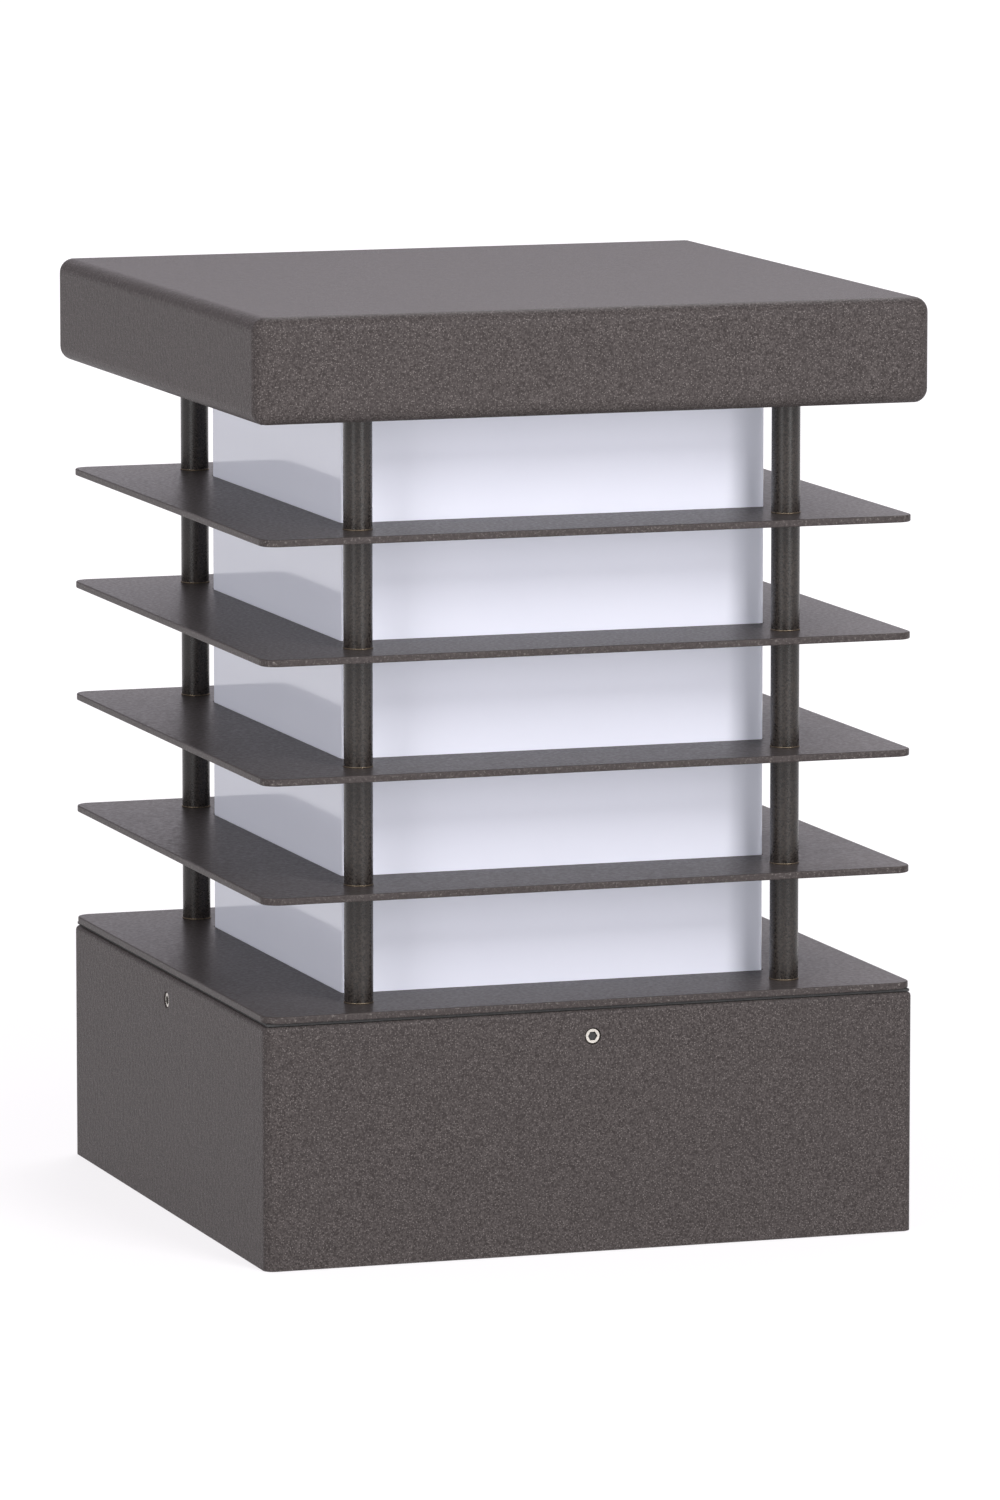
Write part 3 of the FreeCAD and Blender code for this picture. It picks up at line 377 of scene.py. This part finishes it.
def corners_of(node):
    """A node's own loose parts, each as its lowest and highest corner, in metres."""
    mesh = bmesh.new()
    mesh.from_mesh(NODES[node].data)
    mesh.transform(NODES[node].matrix_world)
    bmesh.ops.remove_doubles(mesh, verts=mesh.verts, dist=WELD)
    seen, parts = set(), []
    for start in mesh.verts:
        if start in seen:
            continue
        seen.add(start)
        queue, part = [start], []
        while queue:
            vert = queue.pop()
            part.append(vert.co.copy())
            for edge in vert.link_edges:
                other = edge.other_vert(vert)
                if other not in seen:
                    seen.add(other)
                    queue.append(other)
        parts.append(box_of(part))
    mesh.free()
    return parts


def join_rows(mesh, rows, closed):
    """Smooth quads between rows of vertices, each row a closed loop."""
    above = rows[1:] + rows[:1] if closed else rows[1:]
    for row, after in zip(rows, above):
        for j in range(len(row)):
            k = (j + 1) % len(row)
            face = mesh.faces.new((row[j], row[k], after[k], after[j]))
            face.smooth = True


FOOT_RING_THICKNESS = 0.2 * MM
FOOT_RING_TURNS = 40
FOOT_RING_SIDES = 8


def ring(mesh, centre, radius, thickness):
    """A thin round ring about a vertical axis."""
    rows = []
    for k in range(FOOT_RING_TURNS):
        angle = 2 * math.pi * k / FOOT_RING_TURNS
        row = []
        for j in range(FOOT_RING_SIDES):
            around = -2 * math.pi * j / FOOT_RING_SIDES
            reach = radius + thickness * math.cos(around)
            height = thickness * math.sin(around)
            point = Vector((reach * math.cos(angle), reach * math.sin(angle), height))
            row.append(mesh.verts.new(centre + point))
        rows.append(row)
    join_rows(mesh, rows, closed=True)


def add_foot_rings(materials):
    """A thin bead round the foot of every post segment, in bright bronze metal: a painted highlight
    for the light caught on each foot's edge.
    """
    for post in ("front_left", "front_right", "back_left", "back_right"):
        mesh = bmesh.new()
        for low, high in corners_of(f"spacers_{post}"):
            middle = (low + high) / 2
            foot = Vector((middle.x, middle.y, low.z + FOOT_RING_THICKNESS))
            ring(mesh, foot, (high.x - low.x) / 2, FOOT_RING_THICKNESS)
        add_piece(f"foot_rings_{post}", mesh, "head", materials["painted_foot_highlight"])


SOCKET_WIDTH = 2.5 * MM  # across flats
SOCKET_FIT = 0.97
# the dark plug of painted shade in each socket: its thickness, depth and rounded edge
SOCKET_FILL = 0.5 * MM
SOCKET_FILL_DEPTH = 0.75 * MM
SOCKET_FILL_EDGE = 0.05 * MM
GRUB_SIDES = (("front", 1, -1), ("back", 1, 1), ("left", 0, -1), ("right", 0, 1))  # axis and sign


def add_painted_socket_shade(materials):
    """Painted shade: a dark plug in the bottom of each grub screw's socket, standing in for the shade
    in the recess.
    """
    radius = SOCKET_FIT * SOCKET_WIDTH / math.sqrt(3)
    for side, axis, sign in GRUB_SIDES:
        low, high = corners_of(f"grub_screw_{side}")[0]
        outer = high[axis] if sign > 0 else low[axis]
        centre = (low + high) / 2
        centre[axis] = outer - sign * SOCKET_FILL_DEPTH
        mesh = bmesh.new()
        bmesh.ops.create_cone(mesh, cap_ends=True, segments=6, depth=SOCKET_FILL,
                              radius1=radius, radius2=radius)
        bmesh.ops.bevel(mesh, geom=mesh.edges[:], offset=SOCKET_FILL_EDGE, segments=2, affect="EDGES")
        outward = Vector((0, 0, 0))
        outward[axis] = sign
        turn = outward.to_track_quat("Z", "Y").to_matrix().to_4x4()
        mesh.transform(Matrix.Translation(centre) @ turn)
        add_piece(f"painted_socket_shade_{side}", mesh, f"grub_{side}", materials["black_rubber"])


THREAD_PITCH = 3.6 * MM  # the lamp's screw cap
THREAD_DEPTH = 0.8 * MM
THREAD_SIDES = 72
THREAD_ROWS = 90
THREAD_RUN_OUT = 1.5 * MM
INSULATOR_HEIGHT = 3.0 * MM  # the cone under the thread
INSULATOR_TIP = 4.5 * MM  # its radius at the lamp's tip


def add_lamp_thread(materials):
    """The lamp's rolled screw cap, in place of the plain one."""
    low, high = box_of([corner for part in corners_of("lamp_cap") for corner in part])
    middle = (low + high) / 2
    root = (high.x - low.x) / 2 - THREAD_DEPTH
    mesh = bmesh.new()
    rows = []
    for i in range(THREAD_ROWS + 1):
        z = low.z + (high.z - low.z) * i / THREAD_ROWS
        up_cone = min(1.0, (z - low.z) / INSULATOR_HEIGHT)
        run_in = (z - low.z - INSULATOR_HEIGHT) / THREAD_RUN_OUT
        run_out = (high.z - z) / THREAD_RUN_OUT
        swell = max(0.0, min(1.0, run_in, run_out))
        core = INSULATOR_TIP + (root - INSULATOR_TIP) * up_cone
        row = []
        for k in range(THREAD_SIDES):
            angle = 2 * math.pi * k / THREAD_SIDES
            turn = math.cos(2 * math.pi * z / THREAD_PITCH - angle)
            radius = core + THREAD_DEPTH * swell * (1 + turn) / 2
            offset = Vector((radius * math.cos(angle), radius * math.sin(angle), z - middle.z))
            row.append(mesh.verts.new(middle + offset))
        rows.append(row)
    join_rows(mesh, rows, closed=False)
    mesh.faces.new(list(reversed(rows[0])))
    mesh.faces.new(rows[-1])
    cap = add_piece("lamp_screw_cap", mesh, "lamp", materials["lamp_nickel"])
    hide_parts("lamp_cap")


# ---- stage ------------------------------------------------------------------------------

FLOOR_SIZE = 30.0
FLOOR_DROP = 0.2 * MM
FLOOR_TONE = (0.25, 0.25, 0.25, 1)
FLOOR_GLOW = (1.0, 0.98, 1.0, 1)
FLOOR_GLOW_NEAR = 0.76  # so that the lit floor is an even white out to the backdrop
FLOOR_GLOW_FAR = 0.98
FLOOR_NEAR = 0.2  # distances from the light where the glow starts to grow, and where it is full
FLOOR_FAR = 2.2
FLOOR_ROUGHNESS = 0.9

BACKDROP = (0.295, 0.879, 0.375)  # away from the camera and a little up
BACKDROP_GLOW = 1.15
BACKDROP_EDGE = 0.84  # cosines of its angle at its rim, and where it is full
BACKDROP_FULL = 0.98
SKY_TINT = (1.0, 0.95, 1.03, 1)
SKY_LOW = 0.6  # its strength below the first height, fading to the top's at the second
SKY_TOP = 0.5
SKY_LOW_HEIGHT = 0.15  # sines of the elevation
SKY_TOP_HEIGHT = 0.45

LIGHT_DISTANCE = 1.8
SOFTBOX_PAIRS = (("key", 16, 18), ("fill", -50, 12))  # bearing from the front, and watts
HIGH_ELEVATION = 34
HIGH_SIZE = (0.6, 0.6)
LOW_ELEVATION = 10
LOW_SIZE = (0.6, 0.7)
LOW_SHARE = 0.42  # of the high one's power
BACK_BEARING = 145
BACK_ELEVATION = 50
BACK_SIZE = (1.0, 1.0)
BACK_POWER = 12


def make_floor():
    mesh = bpy.data.meshes.new("floor")
    half = FLOOR_SIZE / 2
    corners = [(-half, -half, 0), (half, -half, 0), (half, half, 0), (-half, half, 0)]
    mesh.from_pydata(corners, [], [(0, 1, 2, 3)])
    floor = bpy.data.objects.new("floor", mesh)
    floor.location.z = -FLOOR_DROP
    bpy.context.scene.collection.objects.link(floor)
    s = Shader("studio_floor")
    s.set(Base_Color=FLOOR_TONE, Roughness=FLOOR_ROUGHNESS, Specular_IOR_Level=0.0)
    s.set(Emission_Color=FLOOR_GLOW)
    distance = s.node("ShaderNodeVectorMath", operation="LENGTH")
    s.link(s.place, distance.inputs[0])
    glow = s.ramp(distance.outputs["Value"], FLOOR_NEAR, FLOOR_FAR, FLOOR_GLOW_NEAR, FLOOR_GLOW_FAR)
    s.link(glow, s.surface.inputs["Emission Strength"])
    mesh.materials.append(s.material)


def make_light(name, azimuth, elevation, size, power):
    """A softbox aimed at the middle of the light, placed by its bearing from the front."""
    azimuth, elevation = math.radians(azimuth), math.radians(elevation)
    data = bpy.data.lights.new(name, "AREA")
    data.shape = "RECTANGLE"
    data.size, data.size_y = size
    data.energy = power
    light = bpy.data.objects.new(name, data)
    towards = Vector((
        math.sin(azimuth) * math.cos(elevation),
        -math.cos(azimuth) * math.cos(elevation),
        math.sin(elevation),
    ))
    light.location = Vector((0, 0, AIM_HEIGHT)) + towards * LIGHT_DISTANCE
    light.rotation_euler = towards.to_track_quat("Z", "Y").to_euler()
    light.visible_camera = False
    bpy.context.scene.collection.objects.link(light)


def make_sky():
    """A soft dim room, with a bright backdrop low down behind the light."""
    world = bpy.data.worlds.new("studio")
    world.use_nodes = True
    tree = world.node_tree

    def ramp(source, low, high, start, end):
        node = tree.nodes.new("ShaderNodeMapRange")
        node.interpolation_type = "SMOOTHSTEP"
        node.inputs["From Min"].default_value = low
        node.inputs["From Max"].default_value = high
        node.inputs["To Min"].default_value = start
        node.inputs["To Max"].default_value = end
        tree.links.new(source, node.inputs["Value"])
        return node.outputs["Result"]

    place = tree.nodes.new("ShaderNodeTexCoord").outputs["Generated"]
    split = tree.nodes.new("ShaderNodeSeparateXYZ")
    tree.links.new(place, split.inputs["Vector"])
    room = ramp(split.outputs["Z"], SKY_LOW_HEIGHT, SKY_TOP_HEIGHT, SKY_LOW, SKY_TOP)
    facing = tree.nodes.new("ShaderNodeVectorMath")
    facing.operation = "DOT_PRODUCT"
    facing.inputs[1].default_value = BACKDROP
    tree.links.new(place, facing.inputs[0])
    glow = ramp(facing.outputs["Value"], BACKDROP_EDGE, BACKDROP_FULL, 0.0, BACKDROP_GLOW)
    brighter = tree.nodes.new("ShaderNodeMath")
    brighter.operation = "MAXIMUM"
    tree.links.new(room, brighter.inputs[0])
    tree.links.new(glow, brighter.inputs[1])
    background = tree.nodes["Background"]
    background.inputs["Color"].default_value = SKY_TINT
    tree.links.new(brighter.outputs["Value"], background.inputs["Strength"])
    bpy.context.scene.world = world


def make_studio():
    bpy.context.scene.view_settings.view_transform = "Standard"
    make_floor()
    make_sky()
    for name, bearing, power in SOFTBOX_PAIRS:
        make_light(f"{name}_high", bearing, HIGH_ELEVATION, HIGH_SIZE, power)
        make_light(f"{name}_low", bearing, LOW_ELEVATION, LOW_SIZE, LOW_SHARE * power)
    make_light("back", BACK_BEARING, BACK_ELEVATION, BACK_SIZE, BACK_POWER)


make_camera()
MATERIALS = make_materials()
dress_nodes(MATERIALS)
add_foot_rings(MATERIALS)
add_painted_socket_shade(MATERIALS)
add_lamp_thread(MATERIALS)
make_studio()
